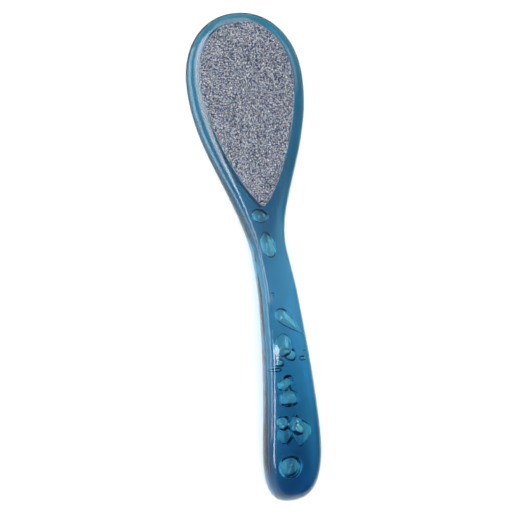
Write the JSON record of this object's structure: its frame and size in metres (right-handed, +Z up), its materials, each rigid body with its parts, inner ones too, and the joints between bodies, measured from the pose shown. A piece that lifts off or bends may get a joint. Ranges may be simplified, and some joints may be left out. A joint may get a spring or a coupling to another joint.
{
  "type": "foot file",
  "caption": "Paddle-shaped foot file with an arched clear handle, trapped bubbles and a teardrop abrasive sheet on each face.",
  "frame": {"origin": "centre of the object's length and width, on the table that it lies on with its front sheet up", "axes": "+Y from the butt to the head along the length, +Z up out of the front face, and X across the width, with the object symmetric about x = 0 apart from its bubbles"},
  "size_m": [0.0546, 0.2202, 0.0247],
  "materials": {
    "clear_plastic": "clear blue, polished",
    "adhesive": "cured bonding layer",
    "sheet_backing": "resin-filled backing, matt",
    "coarse_grit": "coarse mineral grains in resin, sparkling",
    "fine_grit": "fine mineral grains in resin"
  },
  "bodies": {
    "root": {"handle_body": "clear_plastic", "front_adhesive": "adhesive", "front_backing": "sheet_backing", "front_grit": "coarse_grit", "back_adhesive": "adhesive", "back_backing": "sheet_backing", "back_grit": "fine_grit"}
  },
  "joints": []
}
